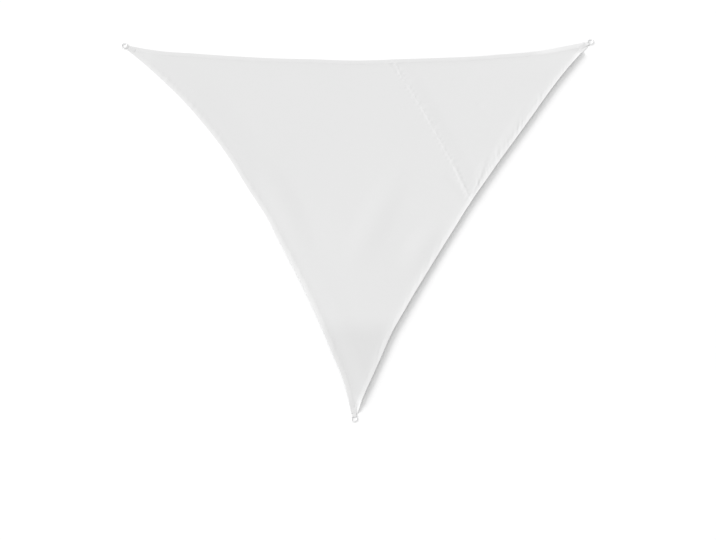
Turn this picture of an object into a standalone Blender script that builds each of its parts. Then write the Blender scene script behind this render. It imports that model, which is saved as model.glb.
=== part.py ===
"""Triangular shade sail, laid out on the ground with its right edge lifted a little.

Three concave, hemmed edges run between three steel rings. The cloth is two panels that
one lapped seam joins, and a strip of webbing ties each corner of the cloth to its ring.
Lengths are in metres. +Z is up, +X runs along the top edge, and the origin is on the
ground under the middle of the sail's bounding box.
"""

import math

import bmesh
import bpy
import numpy as np
from mathutils import Vector
from mathutils.geometry import delaunay_2d_cdt

# Plan, from ring centre to ring centre
TOP_SIDE = 3.000
LEFT_SIDE = 2.978
RIGHT_SIDE = 3.022
TOP_TURN = math.radians(0.52)      # the top side climbs a little towards the right
CORNER_SPREAD = 0.008              # each cloth edge starts this far outside the ring centres

# Depth of each cloth edge inside its side: one, two and three half waves, and small bends
EDGE_ARCS = {
    #         sag    lean   fullness
    "top":   (0.130, -0.006, 0.012),
    "left":  (0.222, 0.014, 0.018),
    "right": (0.1160, -0.008, 0.010),
}
EDGE_BENDS = (
    # edge, share of its side, reach to both sides, depth inwards
    ("top", 0.07, 0.09, 0.0115),
    ("top", 0.24, 0.12, -0.003),
    ("top", 0.49, 0.11, 0.008),
    ("top", 0.67, 0.12, -0.0045),
    ("top", 0.895, 0.11, 0.0125),
    ("left", 0.06, 0.08, 0.002),
    ("left", 0.24, 0.08, -0.002),
    ("left", 0.41, 0.06, -0.003),
    ("left", 0.51, 0.07, 0.007),
    ("left", 0.74, 0.13, -0.0015),
    ("left", 0.92, 0.085, 0.0145),
    ("right", 0.09, 0.11, 0.006),
    ("right", 0.26, 0.12, -0.006),
    ("right", 0.46, 0.10, 0.005),
    ("right", 0.65, 0.11, -0.003),
    ("right", 0.80, 0.06, 0.005),
    ("right", 0.95, 0.06, 0.004),
)

# Sheet
CLOTH_THICKNESS = 0.0015
HEM_WIDTH = 0.030
HEM_STEP = 0.0015                  # width over which the hem's extra layers end
HEM_RISE = 0.0009                  # thickness of those extra layers
GAP = 0.0003                       # between pieces that touch

# Seam: the corner panel laps over the main panel
SEAM_ON_TOP = 0.573                # where its visible line meets the top edge
SEAM_ON_RIGHT = 0.455              # where it meets the right edge
SEAM_ANGLE = math.radians(60)      # between the seam and both of those edges
SEAM_LAP = 0.018
SEAM_RUNOUT = 0.100                # length over which the corner panel comes back down
SEAM_BOW = 0.0155                  # of the line towards the right ring

# Rings and corner webbing
RING_RADIUS = 0.017                # to the middle of the wire
WIRE_RADIUS = 0.003
WEBBING_WIDTH = 0.025
WEBBING_THICKNESS = 0.0014
WEBBING_GATHER = math.radians(36)  # half angle of the ring's wire that it covers
WEBBING_END = 0.078                # from ring centre to the ends of its two legs
WEBBING_BEND = 0.034               # and to where they leave the cloth
TIP_DISTANCE = 0.036               # and to the cut tip of the cloth
TIP_FLAT = 0.086                   # the cloth stays level on the webbing up to here
TIP_RUNOUT = 0.130                 # and is off it from here on

# Soft shapes of the lying cloth
LIFT_HEIGHT = 0.0156               # of the right edge
LIFT_REACH = 1.20                  # width of the cloth that it raises
SINK_SHARE = 0.5                   # of this, taken off again at the top and left edges
SINK_REACH = 0.15
CURL_HEIGHT = 0.0062               # of that edge's hem, on top of the lift
CURL_MIDDLE = 0.013
CURL_REACH = 0.034
PUFF_HEIGHT = 0.0035               # of the cloth just inside the left hem
PUFF_WIDTH = 0.035                 # from the edge to its highest line
PUFF_REACH = 0.24
PUFF_FADE = (0.7, 0.9)             # of the left side: it sinks to half its height over this
RISE_START = 0.095                 # from the ring centres: the cloth is low inside this
RISE_FULL = 0.125                  # and its right edge has its full height from here on
RISE_SPREAD = 0.10                 # the rest follows later, by its inset up to this
SWELLS = (
    # centre x, centre y, half length, half width, turn in degrees, height
    (-0.06, -0.30, 0.78, 0.62, -62.0, 0.010),
    (-0.46, 0.15, 0.42, 0.13, -66.0, 0.004),
    (0.12, 0.06, 0.50, 0.14, 66.0, 0.004),
    (0.40, -0.16, 0.26, 0.13, 60.0, 0.005),
)

# Mesh spacing
GRID_STEP = 0.078
EDGE_STEP = 0.045
SEAM_STEP = 0.030
TIP_STEP = 0.014
TIP_ZONE = 0.175                   # from the ring centres: finer mesh inside this
MERGE_DISTANCE = 1e-6
RING_STEPS = 28
WIRE_STEPS = 10
WRAP_STEPS = 10
WEBBING_STRANDS = 6
SHARP_ANGLE = math.radians(25)     # shading breaks here, as at the hem's step

FINISHES = {
    # name: red, green, blue, roughness, metallic
    "cloth": (0.80, 0.80, 0.79, 0.85, 0.0),
    "webbing": (0.83, 0.83, 0.82, 0.80, 0.0),
    "steel": (0.55, 0.56, 0.57, 0.30, 1.0),
}


# ---------------------------------------------------------------- plan


def plan_corners():
    """Ring centres in plan, around the middle of their bounding box."""
    right = TOP_SIDE * np.array([math.cos(TOP_TURN), math.sin(TOP_TURN)])
    cosine = (TOP_SIDE ** 2 + LEFT_SIDE ** 2 - RIGHT_SIDE ** 2) / (2 * TOP_SIDE * LEFT_SIDE)
    turn = TOP_TURN - math.acos(cosine)
    foot = LEFT_SIDE * np.array([math.cos(turn), math.sin(turn)])
    places = np.array([(0.0, 0.0), right, foot])
    places = places - (places.min(axis=0) + places.max(axis=0)) / 2
    return dict(zip(("left", "right", "foot"), places))


CORNERS = plan_corners()
SIDES = {"top": ("left", "right"), "left": ("left", "foot"), "right": ("right", "foot")}
CORNER_EDGES = {"left": ("top", "left"), "right": ("top", "right"), "foot": ("left", "right")}


def side_frame(edge):
    """Start, direction, inward normal and length of the straight line behind an edge."""
    first, last = (CORNERS[name] for name in SIDES[edge])
    length = np.linalg.norm(last - first)
    along = (last - first) / length
    inward = np.array([-along[1], along[0]])
    if np.dot(sum(CORNERS.values()) / 3 - first, inward) < 0:
        inward = -inward
    return first - CORNER_SPREAD * inward, along, inward, length


def edge_depth(edge, fraction):
    """Depth of the cloth's edge inside its side, and its slope along the side."""
    depth, slope = 0.0, 0.0
    for count, height in enumerate(EDGE_ARCS[edge], start=1):
        rate = count * math.pi
        depth = depth + height * np.sin(rate * fraction)
        slope = slope + height * rate * np.cos(rate * fraction)
    for bent_edge, middle, reach, height in EDGE_BENDS:
        if bent_edge == edge:
            turn = np.clip((fraction - middle) / reach, -1, 1) * math.pi
            depth = depth + height * (1 + np.cos(turn)) / 2
            slope = slope - height * math.pi / (2 * reach) * np.sin(turn)
    return depth, slope / side_frame(edge)[3]


def edge_point(edge, fraction, inset=0.0):
    """Point at a fraction of a side, at an inset from the cloth's edge."""
    start, along, inward, length = side_frame(edge)
    depth, slope = edge_depth(edge, fraction)
    return start + along * fraction * length + inward * (depth + inset * math.hypot(1, slope))


def edge_inset(edge, x, y):
    """Inset of points from a cloth edge, and their fraction along its side."""
    start, along, inward, length = side_frame(edge)
    fraction = ((x - start[0]) * along[0] + (y - start[1]) * along[1]) / length
    offset = (x - start[0]) * inward[0] + (y - start[1]) * inward[1]
    depth, slope = edge_depth(edge, fraction)
    return (offset - depth) / np.hypot(1, slope), fraction


def nearest_inset(x, y):
    """Inset of points from the nearest of the three edges."""
    return np.min([edge_inset(edge, x, y)[0] for edge in SIDES], axis=0)


def ring_distance(x, y):
    """Distance of points from the nearest ring centre."""
    return np.min([np.hypot(x - c[0], y - c[1]) for c in CORNERS.values()], axis=0)


def seam_point(fraction, offset):
    """Point along the seam, at an offset from its visible line towards the right ring."""
    shift = offset / (math.sin(SEAM_ANGLE) * TOP_SIDE)
    first = edge_point("top", SEAM_ON_TOP + shift)
    last = edge_point("right", SEAM_ON_RIGHT - shift)
    across = np.array([first[1] - last[1], last[0] - first[0]])
    bow = SEAM_BOW * math.sin(math.pi * fraction) / np.linalg.norm(across)
    return first + (last - first) * fraction + across * bow


def seam_offset(x, y):
    """Offset of points from the visible seam line, towards the right ring."""
    first, last = seam_point(0, 0), seam_point(1, 0)
    length = np.linalg.norm(last - first)
    along = (last - first) / length
    fraction = ((x - first[0]) * along[0] + (y - first[1]) * along[1]) / length
    offset = (y - first[1]) * along[0] - (x - first[0]) * along[1]
    return offset - SEAM_BOW * np.sin(math.pi * np.clip(fraction, 0, 1))


def tip_frame(corner):
    """Ring centre, and the unit vector from it that halves the cloth's corner."""
    centre = CORNERS[corner]
    total = np.zeros(2)
    for edge in CORNER_EDGES[corner]:
        near = TIP_DISTANCE / side_frame(edge)[3]
        aim = edge_point(edge, near if SIDES[edge][0] == corner else 1 - near) - centre
        total = total + aim / np.linalg.norm(aim)
    return centre, total / np.linalg.norm(total)


TIPS = {corner: tip_frame(corner) for corner in CORNERS}


# ---------------------------------------------------------------- heights


def smooth(value, low, high):
    """0 below low, 1 above high and a smooth step between."""
    step = np.clip((value - low) / (high - low), 0, 1)
    return step * step * (3 - 2 * step)


def swell_height(x, y, centre_x, centre_y, half_length, half_width, degrees, height):
    """A long soft rise that ends level all round."""
    turn = math.radians(degrees)
    along = (x - centre_x) * math.cos(turn) + (y - centre_y) * math.sin(turn)
    across = (y - centre_y) * math.cos(turn) - (x - centre_x) * math.sin(turn)
    reach = np.clip(np.hypot(along / half_length, across / half_width), 0, 1)
    return height * np.cos(reach * math.pi / 2) ** 2


def main_underside(x, y):
    """Underside of the main panel: lifted edges, swells and the rise onto the webbing."""
    inset = np.maximum(edge_inset("right", x, y)[0], 0)
    others = np.minimum(edge_inset("top", x, y)[0], edge_inset("left", x, y)[0])
    sink = SINK_SHARE * (1 - smooth(others, 0, SINK_REACH))
    rise = LIFT_HEIGHT * np.clip(1 - inset / LIFT_REACH, 0, 1) ** 2 * (1 - sink)
    rise = rise + CURL_HEIGHT * np.clip(1 - inset / CURL_REACH, 0, 1) ** 2
    inset, fraction = edge_inset("left", x, y)
    puff = np.sin(np.clip(inset / PUFF_WIDTH, 0, 1) * math.pi / 2)
    puff = puff * (1 - smooth(inset, PUFF_WIDTH, PUFF_REACH))
    rise = rise + PUFF_HEIGHT * puff * (1 - smooth(fraction, *PUFF_FADE) / 2)
    for swell in SWELLS:
        rise = rise + swell_height(x, y, *swell)
    distance = ring_distance(x, y)
    spread = np.clip(edge_inset("right", x, y)[0], 0, RISE_SPREAD)
    on_webbing = (WEBBING_THICKNESS + GAP) * (1 - smooth(distance, TIP_FLAT, TIP_RUNOUT))
    return rise * smooth(distance, RISE_START, RISE_FULL + spread) + on_webbing


def hem_rise(x, y):
    """Extra thickness in the hem."""
    return HEM_RISE * np.clip((HEM_WIDTH + HEM_STEP - nearest_inset(x, y)) / HEM_STEP, 0, 1)


def corner_underside(x, y):
    """Underside of the corner panel, which climbs over the main panel at the seam."""
    lap = 1 - smooth(seam_offset(x, y), SEAM_LAP * 1.1, SEAM_LAP + SEAM_RUNOUT)
    return main_underside(x, y) + lap * (CLOTH_THICKNESS + hem_rise(x, y) + GAP)


# ---------------------------------------------------------------- lines of the panels


def bisect(low, high, is_low):
    """Value between low and high at which is_low turns false."""
    for _ in range(50):
        middle = (low + high) / 2
        if is_low(middle):
            low = middle
        else:
            high = middle
    return (low + high) / 2


def tip_point(edge, corner, inset):
    """End of an edge's line at a corner: on the cut tip, or on the hems' mitre."""
    centre, axis = TIPS[corner]
    other = next(name for name in CORNER_EDGES[corner] if name != edge)

    def place(near):
        return edge_point(edge, near if SIDES[edge][0] == corner else 1 - near, inset)

    def is_outside(near):
        point = place(near)
        if inset == 0:
            return np.dot(point - centre, axis) < TIP_DISTANCE
        return edge_inset(other, *point)[0] < inset

    return place(bisect(0.0, 0.1, is_outside))


def seam_crossing(edge, inset, offset):
    """Point of a seam line that lies an inset inside the top or the right edge."""
    if inset == 0:
        return seam_point(0.0 if edge == "top" else 1.0, offset)

    def is_before(fraction):
        is_outside = edge_inset(edge, *seam_point(fraction, offset))[0] < inset
        return is_outside == (edge == "top")

    return seam_point(bisect(0.0, 1.0, is_before), offset)


def panel_line(edge, ends, inset, offsets):
    """Points along one edge of a panel, at an inset: closer together near the rings.

    Each end is a corner's name or "seam". At the seam the line ends on both seam lines,
    the nearer one first in offsets, so that both panels have the same points in the lap.
    """
    first, last = (seam_crossing(edge, inset, offsets[0]) if end == "seam"
                   else tip_point(edge, end, inset) for end in ends)
    length = side_frame(edge)[3]
    fraction, finish = (edge_inset(edge, *point)[1] for point in (first, last))
    points = [first]
    while True:
        near_ring = ring_distance(*points[-1]) < TIP_ZONE
        step = (TIP_STEP if near_ring else EDGE_STEP) / length
        fraction += step
        if fraction + step / 2 > finish:
            break
        points.append(edge_point(edge, fraction, inset))
    points.append(last)
    if ends[0] == "seam":
        points.insert(0, seam_crossing(edge, inset, offsets[1]))
    if ends[1] == "seam":
        points.append(seam_crossing(edge, inset, offsets[1]))
    return points


def seam_line(offset, first_step):
    """Points along one seam line, with one where each line along the edges crosses it."""
    hem = (HEM_WIDTH, HEM_WIDTH + HEM_STEP)
    curled_hem = (CURL_REACH, *hem[::-1], CURL_MIDDLE, 0)
    start = [seam_crossing("top", inset, offset) for inset in (0, *hem)]
    finish = [seam_crossing("right", inset, offset) for inset in curled_hem]
    whole = seam_point(1, offset) - seam_point(0, offset)
    length = np.linalg.norm(whole)
    low, high = (np.dot(point - seam_point(0, offset), whole) / length ** 2
                 for point in (start[-1], finish[0]))
    count = round((high - low) * length / SEAM_STEP)
    steps = [i + first_step for i in range(count) if i + first_step > 0]
    return start + [seam_point(low + (high - low) * i / count, offset) for i in steps] + finish


def grid_points(spacing, keep):
    """Points of a triangular grid over the sail, where keep accepts them."""
    low = np.min(list(CORNERS.values()), axis=0)
    high = np.max(list(CORNERS.values()), axis=0)
    row_step = spacing * math.sqrt(3) / 2
    points = []
    for row in range(math.ceil((high[1] - low[1]) / row_step)):
        start = low[0] + (row % 2) * spacing / 2
        for column in range(math.ceil((high[0] - start) / spacing)):
            point = np.array([start + column * spacing, low[1] + row * row_step])
            if keep(*point):
                points.append(point)
    return points


def loose_points(seam_clearance):
    """Points inside a panel: an even grid, and a finer one near the rings."""
    def clearance(x, y):
        from_curl = abs(edge_inset("right", x, y)[0] - CURL_REACH)
        return min(nearest_inset(x, y) - HEM_WIDTH - HEM_STEP, from_curl, seam_clearance(x, y))

    def in_body(x, y):
        return ring_distance(x, y) > TIP_ZONE and clearance(x, y) > GRID_STEP * 0.45

    def in_tip(x, y):
        return ring_distance(x, y) < TIP_ZONE and clearance(x, y) > TIP_STEP * 0.7

    return grid_points(GRID_STEP, in_body) + grid_points(TIP_STEP * 1.5, in_tip)


# ---------------------------------------------------------------- solids


def make_material(name):
    """Principled material from the table of finishes."""
    red, green, blue, roughness, metallic = FINISHES[name]
    material = bpy.data.materials.new(name)
    material.use_nodes = True
    shader = material.node_tree.nodes["Principled BSDF"]
    shader.inputs["Base Color"].default_value = (red, green, blue, 1)
    shader.inputs["Roughness"].default_value = roughness
    shader.inputs["Metallic"].default_value = metallic
    return material


def add_object(name, bm, material):
    """New object from a bmesh, shaded smooth up to its sharp edges."""
    bmesh.ops.recalc_face_normals(bm, faces=bm.faces)
    mesh = bpy.data.meshes.new(name)
    bm.to_mesh(mesh)
    bm.free()
    mesh.shade_smooth()
    mesh.set_sharp_from_angle(angle=SHARP_ANGLE)
    mesh.materials.append(material)
    thing = bpy.data.objects.new(name, mesh)
    bpy.context.scene.collection.objects.link(thing)


def sheet_solid(name, outline, lines, points, underside, material):
    """Closed sheet from an outline, the lines that its mesh follows and loose points."""
    vertices = [Vector(point) for point in outline]
    edges = []
    for line in lines:
        start = len(vertices)
        vertices += [Vector(point) for point in line]
        edges += [(start + i, start + i + 1) for i in range(len(line) - 1)]
    vertices += [Vector(point) for point in points]
    face = list(range(len(outline)))
    plan, _, triangles, *_ = delaunay_2d_cdt(vertices, edges, [face], 1, MERGE_DISTANCE)
    x, y = np.array([tuple(point) for point in plan]).T
    low = underside(x, y)
    high = low + CLOTH_THICKNESS + hem_rise(x, y)
    bm = bmesh.new()
    bottom = [bm.verts.new(point) for point in zip(x, y, low)]
    top = [bm.verts.new(point) for point in zip(x, y, high)]
    rim = set()
    for triangle in triangles:
        bm.faces.new([top[i] for i in triangle])
        bm.faces.new([bottom[i] for i in reversed(triangle)])
        rim ^= {frozenset(pair) for pair in zip(triangle, [*triangle[1:], triangle[0]])}
    for first, last in sorted(sorted(pair) for pair in rim):
        bm.faces.new((top[first], bottom[first], bottom[last], top[last]))
    unused = [vertex for vertex in bm.verts if not vertex.link_faces]
    bmesh.ops.delete(bm, geom=unused, context="VERTS")
    add_object(name, bm, material)


def panel_lines(ends_of_edge, offsets):
    """Outline runs of a panel by edge, and the lines at its hem's step and along its curl."""
    runs = {edge: panel_line(edge, ends, 0, offsets) for edge, ends in ends_of_edge.items()}
    lines = [panel_line(edge, ends, inset, offsets)
             for edge, ends in ends_of_edge.items()
             for inset in (HEM_WIDTH, HEM_WIDTH + HEM_STEP)]
    lines += [panel_line("right", ends_of_edge["right"], inset, offsets)
              for inset in (CURL_MIDDLE, CURL_REACH)]
    return runs, lines


def make_main_panel(material):
    """Main panel: all the sail up to the seam, and a lap's width under the corner panel."""
    ends = {"top": ("left", "seam"), "left": ("left", "foot"), "right": ("seam", "foot")}
    runs, lines = panel_lines(ends, (0.0, SEAM_LAP))
    outline = runs["top"] + seam_line(SEAM_LAP, 0.0)[1:-1] + runs["right"] + runs["left"][::-1]
    lines.append(seam_line(0.0, 0.5))
    points = loose_points(lambda x, y: -seam_offset(x, y))
    sheet_solid("panel_main", outline, lines, points, main_underside, material)


def make_corner_panel(material):
    """Corner panel: the rest of the sail, from the visible seam line to the right ring."""
    ends = {"top": ("seam", "right"), "right": ("right", "seam")}
    runs, lines = panel_lines(ends, (SEAM_LAP, 0.0))
    outline = runs["top"] + runs["right"] + seam_line(0.0, 0.5)[-2:0:-1]
    landing = SEAM_LAP + SEAM_RUNOUT
    lines += [seam_line(SEAM_LAP, 0.0), seam_line(landing, 0.5)]
    points = loose_points(lambda x, y: seam_offset(x, y) - landing)
    sheet_solid("panel_corner", outline, lines, points, corner_underside, material)


def webbing_strand(corner, share):
    """The webbing's inner and outer face from end to end, at a share of its half width."""
    centre, axis = TIPS[corner]
    side = np.array([-axis[1], axis[0]])
    heading = share * WEBBING_GATHER
    outward = axis * math.cos(heading) + side * math.sin(heading)
    wire_height = WEBBING_THICKNESS + GAP + WIRE_RADIUS
    over_cloth = WEBBING_THICKNESS + CLOTH_THICKNESS + HEM_RISE + 2 * GAP

    def leg(places, height):
        middle = centre + side * share * WEBBING_WIDTH / 2
        return [(*(middle + axis * place), height) for place in places]

    def wrap(distance):
        turns = [math.pi * (0.5 + i / WRAP_STEPS) for i in range(WRAP_STEPS + 1)]
        return [(*(centre + outward * (RING_RADIUS + distance * math.cos(turn))),
                 wire_height + distance * math.sin(turn)) for turn in turns]

    places = (WEBBING_END, (WEBBING_END + WEBBING_BEND) / 2, WEBBING_BEND)
    reach = WIRE_RADIUS + GAP
    inner = leg(places, over_cloth) + wrap(reach) + leg(places[::-1], WEBBING_THICKNESS)
    outer = (leg(places, over_cloth + WEBBING_THICKNESS) + wrap(reach + WEBBING_THICKNESS)
             + leg(places[::-1], 0.0))
    return inner, outer


def make_webbing(corner, material):
    """Strip of webbing round the ring's wire, with one leg over and one under the cloth."""
    bm = bmesh.new()
    loops = []
    for share in np.linspace(-1, 1, WEBBING_STRANDS + 1):
        inner, outer = webbing_strand(corner, share)
        loops.append([bm.verts.new(point) for point in outer + inner[::-1]])
    count = len(loops[0])
    for loop, following in zip(loops, loops[1:]):
        for i in range(count):
            j = (i + 1) % count
            bm.faces.new((loop[i], loop[j], following[j], following[i]))
    for loop in (loops[0], loops[-1]):
        for i in range(count // 2 - 1):
            bm.faces.new((loop[i], loop[i + 1], loop[-i - 2], loop[-i - 1]))
    add_object(f"webbing_{corner}", bm, material)


def make_ring(corner, material):
    """Round wire ring: one side rests on the ground, the other lies in the webbing."""
    centre, axis = TIPS[corner]
    low, high = WIRE_RADIUS, WEBBING_THICKNESS + GAP + WIRE_RADIUS
    tilt = math.asin((high - low) / (2 * RING_RADIUS))
    bpy.ops.mesh.primitive_torus_add(
        major_segments=RING_STEPS, minor_segments=WIRE_STEPS,
        major_radius=RING_RADIUS, minor_radius=WIRE_RADIUS,
        location=(*centre, (low + high) / 2),
        rotation=(0, -tilt, math.atan2(axis[1], axis[0])))
    ring = bpy.context.object
    ring.name = f"ring_{corner}"
    ring.data.shade_smooth()
    ring.data.materials.append(material)


def main():
    """Build the sail in an emptied scene."""
    for thing in list(bpy.data.objects):
        bpy.data.objects.remove(thing)
    materials = {name: make_material(name) for name in FINISHES}
    make_main_panel(materials["cloth"])
    make_corner_panel(materials["cloth"])
    for corner in CORNERS:
        make_webbing(corner, materials["webbing"])
        make_ring(corner, materials["steel"])


main()
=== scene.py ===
"""A triangular shade sail laid out on a pale studio floor.

Cloth, hems, sewing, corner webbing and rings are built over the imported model. Lengths
are in metres. +X runs along the top edge and +Y from the foot ring towards it.
"""

import math

import bmesh
import bpy
import numpy as np
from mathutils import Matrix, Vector
from mathutils.geometry import delaunay_2d_cdt


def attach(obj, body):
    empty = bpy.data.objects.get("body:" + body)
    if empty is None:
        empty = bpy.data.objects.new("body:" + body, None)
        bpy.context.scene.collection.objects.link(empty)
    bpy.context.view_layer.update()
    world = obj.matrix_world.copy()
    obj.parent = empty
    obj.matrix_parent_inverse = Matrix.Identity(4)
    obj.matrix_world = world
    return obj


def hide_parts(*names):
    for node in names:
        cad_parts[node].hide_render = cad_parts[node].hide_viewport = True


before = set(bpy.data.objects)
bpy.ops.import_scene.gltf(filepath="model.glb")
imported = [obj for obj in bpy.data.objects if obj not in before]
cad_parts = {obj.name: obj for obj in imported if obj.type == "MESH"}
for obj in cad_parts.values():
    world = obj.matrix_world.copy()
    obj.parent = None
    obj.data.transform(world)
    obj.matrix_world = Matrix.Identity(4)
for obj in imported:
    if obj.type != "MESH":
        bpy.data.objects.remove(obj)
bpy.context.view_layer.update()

# ---------------------------------------------------------------- sizes

# Plan, from ring centre to ring centre
TOP_SIDE = 3.000
LEFT_SIDE = 2.978
RIGHT_SIDE = 3.022
TOP_TURN = math.radians(0.52)
CORNER_SPREAD = 0.008
EDGE_ARCS = {
    #         sag    lean   fullness
    "top":   (0.130, -0.006, 0.012),
    "left":  (0.222, 0.014, 0.018),
    "right": (0.1160, -0.008, 0.010),
}
EDGE_BENDS = (
    # edge, share of its side, reach to both sides, depth inwards
    ("top", 0.07, 0.09, 0.0115),
    ("top", 0.24, 0.12, -0.003),
    ("top", 0.49, 0.11, 0.008),
    ("top", 0.67, 0.12, -0.0045),
    ("top", 0.895, 0.11, 0.0125),
    ("left", 0.06, 0.08, 0.002),
    ("left", 0.24, 0.08, -0.002),
    ("left", 0.41, 0.06, -0.003),
    ("left", 0.51, 0.07, 0.007),
    ("left", 0.74, 0.13, -0.0015),
    ("left", 0.92, 0.085, 0.0145),
    ("right", 0.09, 0.11, 0.006),
    ("right", 0.26, 0.12, -0.006),
    ("right", 0.46, 0.10, 0.005),
    ("right", 0.65, 0.11, -0.003),
    ("right", 0.80, 0.06, 0.005),
    ("right", 0.95, 0.06, 0.004),
)

# Seam
SEAM_ON_TOP = 0.573                # share of the top side at which it ends
SEAM_ON_RIGHT = 0.455
SEAM_ANGLE = math.radians(60)
SEAM_LAP = 0.018
SEAM_RUNOUT = 0.100                # beyond the lap, where the corner panel comes down
SEAM_BOW = 0.0155
SEAM_FOLD = 0.011                  # width of the turned edge that shows
SEAM_FOLD_RISE = 0.00015
SEAM_FOLD_RUNOUT = 0.0060
SEAM_ROUNDING = 0.0014             # of its folded rim

# Sheet and hem
CLOTH_THICKNESS = 0.0008
HEM_WIDTH = 0.030
HEM_LIFT = 0.0006                  # of the sheet inside the hem
GAP = 0.0002

# Rings and webbing
RING_RADIUS = 0.017
WIRE_RADIUS = 0.003
WEBBING_WIDTH = 0.025
WEBBING_THICKNESS = 0.0010
WEBBING_GATHER = math.radians(36)
WEBBING_END = 0.078
WEBBING_BEND = 0.034
TIP_DISTANCE = 0.036
TIP_FLAT = 0.086
TIP_RUNOUT = 0.130
TIP_PRESS = 0.45                   # of the cloth's thickness, pressed out under the straps

# Heights of the lying cloth
LIFT_HEIGHT = 0.0156               # of the right edge
LIFT_REACH = 1.20
SINK_SHARE = 0.5                   # of the lift, taken off at the top and left edges
SINK_REACH = 0.15
CURL_HEIGHT = 0.0062               # of the right hem, on top of that
CURL_REACH = 0.034
RIM_HEIGHT = 0.0022                # of that hem's rim, on top of both
RIM_REACH = 0.009
RIM_FADE = (0.40, 0.70)            # shares of the side between which the rim flattens
TIP_CURL = 0.012                   # of that hem beside the foot's strap, where the rest is low
TIP_CURL_REACH = 0.015
TIP_CURL_RISE = (0.042, 0.072)     # from the ring centre
PUFF_HEIGHT = 0.0035               # of the cloth just inside the left hem
PUFF_WIDTH = 0.035
PUFF_REACH = 0.24
PUFF_LOSS = 0.5                    # share of its height that it loses towards the foot
PUFF_FADE = (0.7, 0.9)             # shares of the side between which it does
RISE_START = 0.080                 # from the ring centres: the cloth is low inside this
RISE_FULL = 0.115                  # and its right edge has its full height from here on
RISE_SPREAD = 0.10                 # the rest follows later, by its inset up to this
SWELLS = (
    # centre x, centre y, half length, half width, turn in degrees, height
    (-0.06, -0.30, 0.78, 0.62, -62.0, 0.010),
    (-0.46, 0.15, 0.42, 0.13, -66.0, 0.004),
    (0.12, 0.06, 0.50, 0.14, 66.0, 0.004),
    (0.40, -0.16, 0.26, 0.13, 60.0, 0.005),
    (-0.591, 0.835, 0.040, 0.030, 0.0, -0.0008),
    (0.784, 0.856, 0.040, 0.035, 0.0, -0.0010),
)
CREASES = (
    # start x, start y, end x, end y, half width, bow, height
    (0.600, 0.470, 0.706, 0.180, 0.022, 0.000, 0.0016),
    (0.812, 0.440, 0.716, 0.190, 0.014, 0.004, 0.0022),
    (0.560, 0.360, 0.690, 0.200, 0.040, 0.006, -0.0014),
    (0.186, 1.156, 0.234, 1.104, 0.009, 0.002, 0.0010),
    (0.250, 1.136, 0.288, 1.044, 0.009, 0.000, 0.0010),
    (0.220, 1.152, 0.262, 1.076, 0.011, 0.002, -0.0010),
)
SEAM_PULLS = (
    # from share, to share, height of its ridge, height of the puckers beside it
    (0.00, 0.16, 0.0003, 0.0008),
    (0.16, 0.34, 0.0013, 0.0006),
    (0.34, 0.48, 0.0020, 0.0006),
    (0.48, 0.75, 0.0015, 0.0006),
    (0.75, 1.00, 0.0015, 0.0007),
)
PULL_OUTSIDE = 0.01                # shares by which one pull fades into the next
PULL_INSIDE = 0.02
RIDGE_ACROSS = (-0.011, 0.004, 0.008, 0.110)   # offsets where it starts, is full, fades and ends
PUCKERS_BESIDE = (0.002, 0.012, 0.014, 0.034)  # the same, on both sides of the seam
PUCKER_LENGTH = 0.041
PUCKER_DRIFT = 1.6
PUCKER_DRIFT_RATE = 0.31
RIPPLES = (
    # edge, from share, to share, stripes' heading in degrees, wave length, height, reach
    ("right", 0.060, 0.150, 84.0, 0.021, 0.0018, 0.045),
    ("right", 0.155, 0.205, 86.0, 0.027, 0.0020, 0.062),
    ("right", 0.215, 0.285, 84.0, 0.023, 0.0025, 0.068),
    ("right", 0.285, 0.350, 90.0, 0.029, 0.0032, 0.084),
    ("right", 0.350, 0.425, 95.0, 0.022, 0.0023, 0.078),
    ("right", 0.120, 0.430, 70.0, 0.088, 0.0034, 0.105),
    ("right", 0.440, 0.950, 80.0, 0.040, 0.0018, 0.050),
    ("left", 0.030, 0.340, 60.0, 0.046, 0.0014, 0.055),
    ("left", 0.340, 0.960, 80.0, 0.071, 0.0012, 0.050),
    ("top", 0.050, 0.950, 80.0, 0.085, 0.0010, 0.050),
)
RIPPLE_WAVES = (
    # strength, rate, phase, drift
    (1.0, 1.000, 0.0, 0.9),
    (0.5, 0.617, 1.3, 0.0),
    (0.3, 1.731, 0.4, 0.0),
)
RIPPLE_DRIFT_RATE = 0.213
RIPPLE_SWAY = 0.25                 # share by which their height comes and goes
RIPPLE_SWAY_RATE = 0.173
RIPPLE_RUNOUT = 0.2                # of a stretch, at each of its ends
RIPPLE_AT_RIM = 0.25               # share of their height at the rim
RIPPLE_FULL = 0.014                # inset from which they have their full height
FINE_ZONES = (
    # centre x, centre y, radius: finer mesh for small creases
    (0.690, 0.320, 0.190),
    (0.237, 1.110, 0.080),
)

# Mesh spacing
CLOTH_STEP = 0.0110
FINE_STEP = 0.0048
EDGE_STEP = 0.0055
HEM_STEP = 0.8 * EDGE_STEP
HEM_CLEARANCE = 0.45 * CLOTH_STEP  # between the last row inside a hem and the loose points
SEAM_CLEARANCE = 0.4 * CLOTH_STEP
ROW_CLEARANCE = 0.004              # between the rows of the seam and of the hems
SHEET_ROWS = (0.005, 0.012, 0.0200, 0.0285, 0.0315, 0.0350, 0.0410, 0.0480, 0.0560, 0.0650)
SEAM_ROWS = (0.0, 0.0004, 0.0012, 0.0030, 0.0060, 0.0090, 0.0110, 0.0130, 0.0150, 0.0185,
             0.0230, 0.0290, 0.0360, 0.0440)
MAIN_SEAM_ROWS = (0.009, -0.001, -0.004, -0.008, -0.012, -0.017, -0.023, -0.030)
MERGE_DISTANCE = 1e-6

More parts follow.
